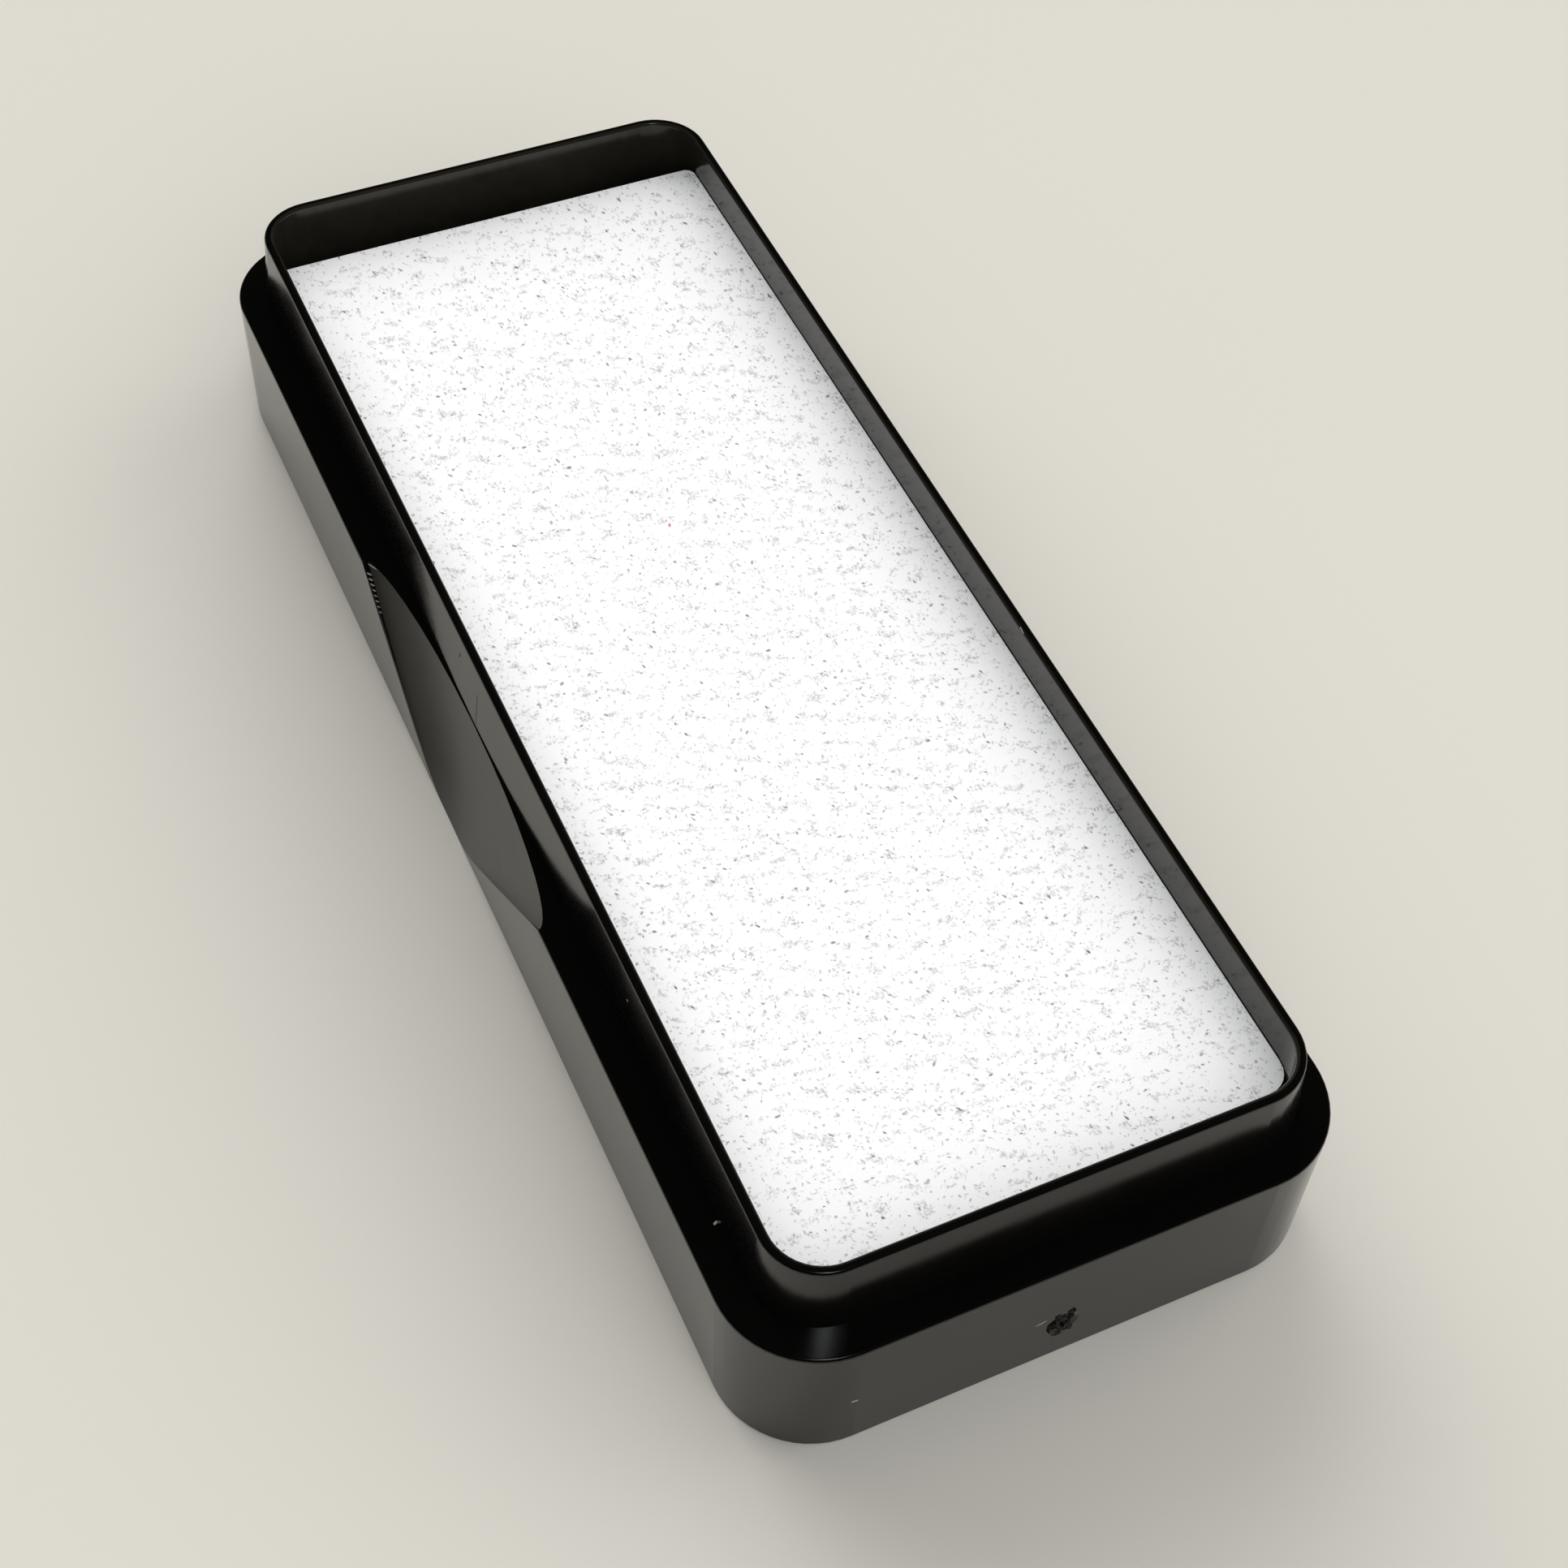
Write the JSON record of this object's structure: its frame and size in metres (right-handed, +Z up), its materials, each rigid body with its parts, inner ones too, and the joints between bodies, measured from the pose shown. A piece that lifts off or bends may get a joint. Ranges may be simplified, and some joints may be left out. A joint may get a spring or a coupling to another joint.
{
  "type": "wet palette",
  "caption": "Oblong moulded tray with a stepped rim and a thumb scallop, holding a sponge under a flecked paper sheet that keeps paint moist for brush work.",
  "frame": {"origin": "on the table, under the middle of the tray", "axes": "+X across the width, away from the thumb scallop; +Y along the length, away from the gate mark; +Z up, out of the well"},
  "size_m": [0.08, 0.204, 0.0334],
  "materials": {
    "black_plastic": "polished injection moulding with fine scuffs",
    "foam": "open-cell sponge",
    "paper": "matt sheet with grey fibre flecks"
  },
  "bodies": {
    "tray": {"tray": "black_plastic"},
    "sponge": {"sponge": "foam"},
    "paper": {"palette_paper": "paper"}
  },
  "joints": [
    {"name": "sponge_lift", "type": "slide", "parent": "tray", "child": "sponge", "axis": [0, 0, 1], "range_m": [0, 0.045]},
    {"name": "paper_lift", "type": "slide", "parent": "sponge", "child": "paper", "axis": [0, 0, 1], "range_m": [0, 0.03]}
  ]
}
